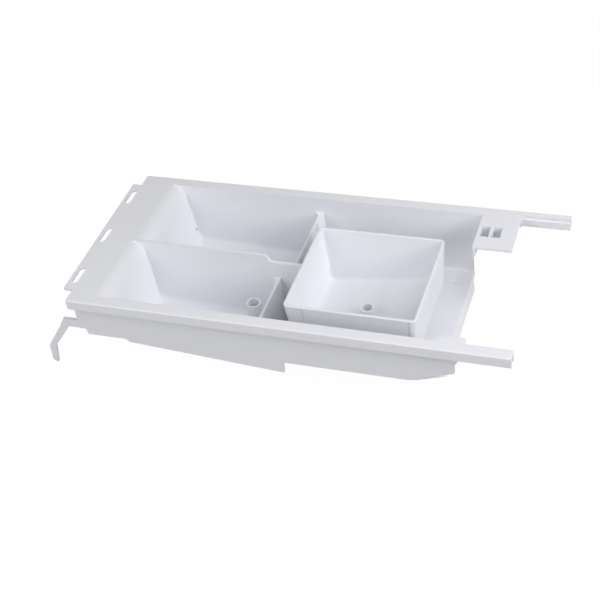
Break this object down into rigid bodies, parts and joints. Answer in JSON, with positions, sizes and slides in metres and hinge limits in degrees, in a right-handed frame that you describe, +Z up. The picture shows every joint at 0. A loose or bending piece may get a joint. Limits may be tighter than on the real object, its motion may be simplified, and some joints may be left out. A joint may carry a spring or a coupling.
{
  "type": "washing machine detergent drawer",
  "caption": "White moulded detergent drawer tray with powder compartments, a siphon post, a lift-out softener cup, slotted front tab, front hooks and rear slide rails.",
  "frame": {"origin": "middle of the underside: below the centre of the whole drawer, level with the tips of the front hooks", "axes": "+X from the drawer front to its rear rails, +Y across to the side with the long rail, +Z up"},
  "size_m": [0.3604, 0.15, 0.071],
  "materials": {
    "tray_plastic": "satin white moulded plastic",
    "cup_plastic": "satin white moulded plastic"
  },
  "bodies": {
    "root": {"detergent_tray": "tray_plastic", "softener_cup": "cup_plastic"}
  },
  "joints": []
}
